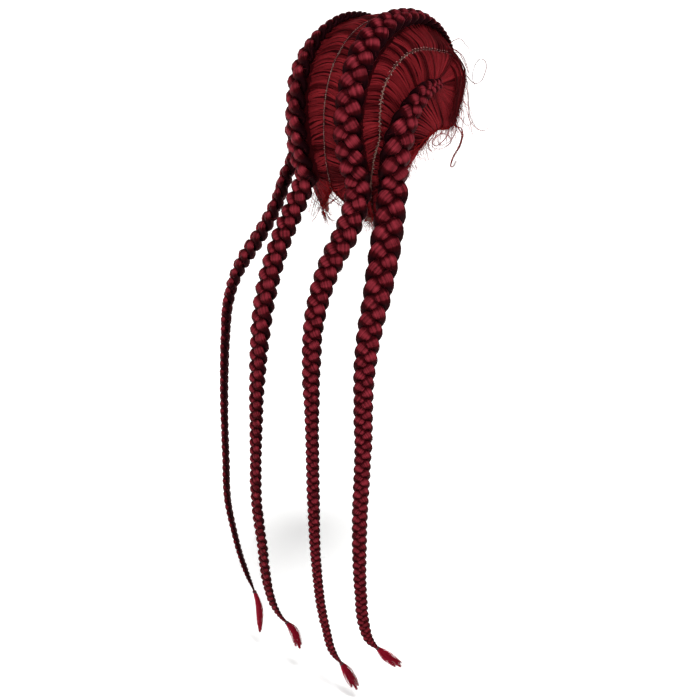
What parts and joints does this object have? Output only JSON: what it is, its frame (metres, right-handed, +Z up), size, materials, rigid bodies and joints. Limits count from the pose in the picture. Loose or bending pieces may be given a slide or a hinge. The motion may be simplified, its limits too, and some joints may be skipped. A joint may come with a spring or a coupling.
{
  "type": "braid wig",
  "caption": "Burgundy lace wig with long raised plaits over the head, combed hair between fine partings, and loose plait ends tied with small elastics.",
  "frame": {"origin": "the inside of the cap's crown, where the head sits", "axes": "+Z is up, the way the plaits hang is -Z, the face looks along -Y, and the wearer's left is +X"},
  "size_m": [0.2882, 0.2323, 0.802],
  "materials": {
    "hair": "satin burgundy hair",
    "lace": "matt fine lace",
    "elastic": "matt black elastic"
  },
  "bodies": {
    "root": {"lace_cap": "lace", "hair_section_right_inner": "hair", "hair_section_right_outer": "hair", "hair_section_left_inner": "hair", "hair_section_left_outer": "hair", "braid_right_inner": "hair", "braid_right_outer": "hair", "braid_left_inner": "hair", "braid_left_outer": "hair", "tie_right_inner": "elastic", "tie_right_outer": "elastic", "tie_left_inner": "elastic", "tie_left_outer": "elastic", "tuft_right_inner": "hair", "tuft_right_outer": "hair", "tuft_left_inner": "hair", "tuft_left_outer": "hair"}
  },
  "joints": []
}
